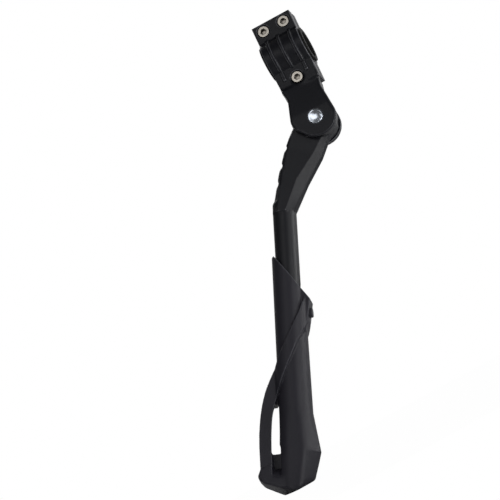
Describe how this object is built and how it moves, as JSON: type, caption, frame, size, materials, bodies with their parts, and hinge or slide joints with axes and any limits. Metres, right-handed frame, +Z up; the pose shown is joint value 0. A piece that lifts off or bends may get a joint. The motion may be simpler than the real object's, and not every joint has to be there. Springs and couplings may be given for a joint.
{
  "type": "bicycle kickstand",
  "caption": "Clamp-on bicycle kickstand: split clamp on the frame tube, forged leg that folds to the rear on a pin, and nylon foot sleeve that slides on the shank to set the height.",
  "frame": {"origin": "centre of the clamp's bore, on the frame tube's axis", "axes": "+X along the clamped tube to the rear of the bicycle, -Y outward to the stand's side, +Z up with the stand down on level ground"},
  "size_m": [0.166, 0.1658, 0.3073],
  "materials": {
    "cast_black": "satin black powder coat on die-cast alloy",
    "forged_black": "satin black paint on forged alloy",
    "nylon_black": "fine-textured moulded nylon",
    "rubber_black": "matte moulded rubber",
    "screw_steel": "stainless, lightly brushed",
    "pin_zinc": "bright bluish zinc plating",
    "nylon_white": "natural nylon",
    "spring_steel": "drawn wire"
  },
  "bodies": {
    "clamp": {"clamp_bracket": "cast_black", "rear_jaw": "cast_black", "front_pad": "rubber_black", "rear_pad": "rubber_black", "clamp_bolts": "screw_steel", "pivot_pin": "pin_zinc", "pin_clip": "spring_steel", "thrust_washer_front": "nylon_white", "thrust_washer_rear": "nylon_white", "detent_spring": "spring_steel"},
    "plunger": {"detent_plunger": "pin_zinc"},
    "leg": {"upper_leg": "forged_black"},
    "sleeve": {"lower_sleeve": "nylon_black", "button_spring": "spring_steel"},
    "button": {"height_button": "nylon_black"}
  },
  "joints": [
    {"name": "leg_fold", "type": "hinge", "parent": "clamp", "child": "leg", "pos_m": [-0.0013, -0.02251, -0.05302], "axis": [0.1219, -0.9136, 0.3878], "range_deg": [0, 112]},
    {"name": "leg_extend", "type": "slide", "parent": "leg", "child": "sleeve", "axis": [-0.346, -0.4053, -0.8462], "range_m": [-0.02, 0.025]},
    {"name": "button_press", "type": "slide", "parent": "sleeve", "child": "button", "axis": [-0.9303, 0.0311, 0.3655], "range_m": [0, 0.0012], "stiffness_N_per_m": 800, "springref_m": -0.002, "deforming": ["button_spring"]},
    {"name": "plunger_retract", "type": "slide", "parent": "clamp", "child": "plunger", "axis": [0, 0.3907, 0.9205], "range_m": [0, 0.0015], "stiffness_N_per_m": 1500, "springref_m": -0.002, "deforming": ["detent_spring"]}
  ]
}
